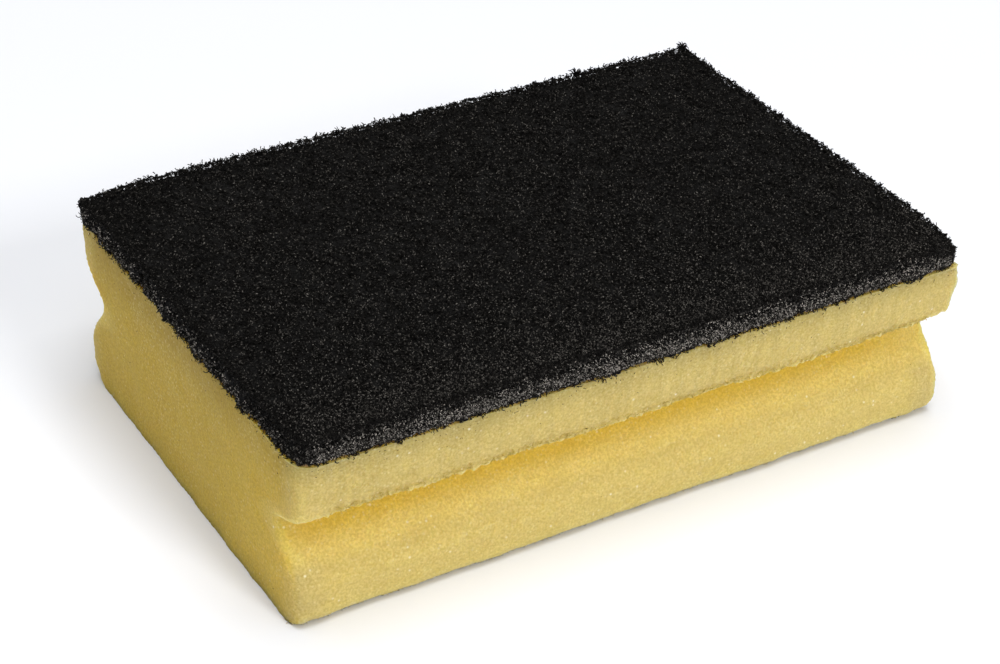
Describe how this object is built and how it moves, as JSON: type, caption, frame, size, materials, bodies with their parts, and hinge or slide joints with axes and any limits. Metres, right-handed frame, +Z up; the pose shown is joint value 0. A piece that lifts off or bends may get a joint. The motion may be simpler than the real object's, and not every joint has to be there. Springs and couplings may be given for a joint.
{
  "type": "scouring sponge",
  "caption": "Hand-held scouring sponge for tile and grout work: a foam block with a finger groove along each long side, faced with a coarse non-woven abrasive pad.",
  "frame": {"origin": "middle of the foam's underside, the face the object rests on", "axes": "+X along the object's length and its finger grooves, +Y across it towards one grooved side, +Z up out of the abrasive face"},
  "size_m": [0.15, 0.1, 0.0435],
  "materials": {
    "foam": "matte",
    "adhesive": "satin",
    "abrasive_fibre": "matte"
  },
  "bodies": {
    "root": {"foam_body": "foam", "adhesive_layer": "adhesive", "abrasive_pad": "abrasive_fibre"}
  },
  "joints": []
}
